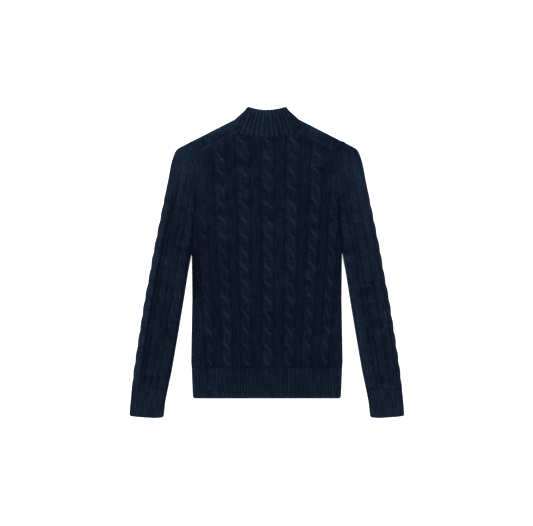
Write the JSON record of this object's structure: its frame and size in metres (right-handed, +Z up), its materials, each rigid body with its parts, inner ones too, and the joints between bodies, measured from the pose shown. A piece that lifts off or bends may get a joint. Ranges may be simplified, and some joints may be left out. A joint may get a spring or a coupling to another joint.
{
  "type": "half-zip cable-knit sweater laid flat",
  "caption": "Navy half-zip sweater with cable-knit panels and ribbed collar, cuffs and hem, laid flat on its front with its back up.",
  "frame": {"origin": "centre of the footprint, on the surface that the sweater lies on", "axes": "+Z up from that surface, +Y from the hem to the collar, +X across, to the wearer's right because the back is up"},
  "size_m": [0.6588, 0.7466, 0.01],
  "materials": {
    "knit": "matt cotton cable knit, dark navy",
    "rib": "matt cotton rib knit, dark navy",
    "zip_tape": "fine woven tape, dark navy",
    "zip_metal": "dark satin metal"
  },
  "bodies": {
    "garment": {"back_panel": "knit", "front_panel": "knit", "hem_rib_back": "rib", "hem_rib_front": "rib", "sleeve_left": "knit", "sleeve_right": "knit", "cuff_left": "rib", "cuff_right": "rib", "collar": "rib", "zip_tape_left": "zip_tape", "zip_tape_right": "zip_tape", "zip_chain": "zip_metal", "zip_slider": "zip_metal"},
    "pull": {"zip_pull": "zip_metal"}
  },
  "joints": [
    {"name": "pull_tab_swing", "type": "hinge", "parent": "garment", "child": "pull", "pos_m": [0, 0.3335, 0.00145], "axis": [1, 0, 0], "range_deg": [0, 170]}
  ]
}
